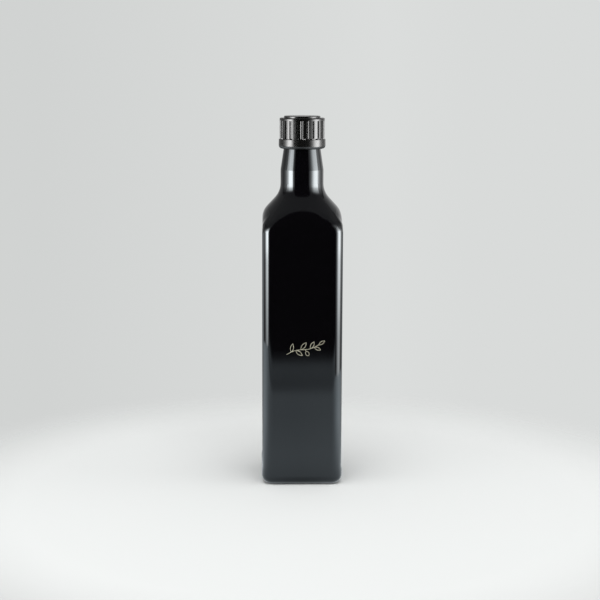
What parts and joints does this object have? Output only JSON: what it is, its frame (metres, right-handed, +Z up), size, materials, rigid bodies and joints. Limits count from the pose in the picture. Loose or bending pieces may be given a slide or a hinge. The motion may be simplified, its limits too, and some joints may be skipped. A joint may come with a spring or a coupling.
{
  "type": "glass storage bottle",
  "caption": "Tall square black glass bottle with a turned shoulder and neck, closed by a ribbed screw cap with a tamper band.",
  "frame": {"origin": "centre of the base, on the plane that the bottle stands on", "axes": "+Z up through the neck, -Y out of the face that is seen in front, +X to its right"},
  "size_m": [0.0588, 0.0588, 0.2682],
  "materials": {
    "black_glass": "gloss",
    "cap_plastic": "gloss"
  },
  "bodies": {
    "root": {"bottle": "black_glass", "cap": "cap_plastic"}
  },
  "joints": []
}
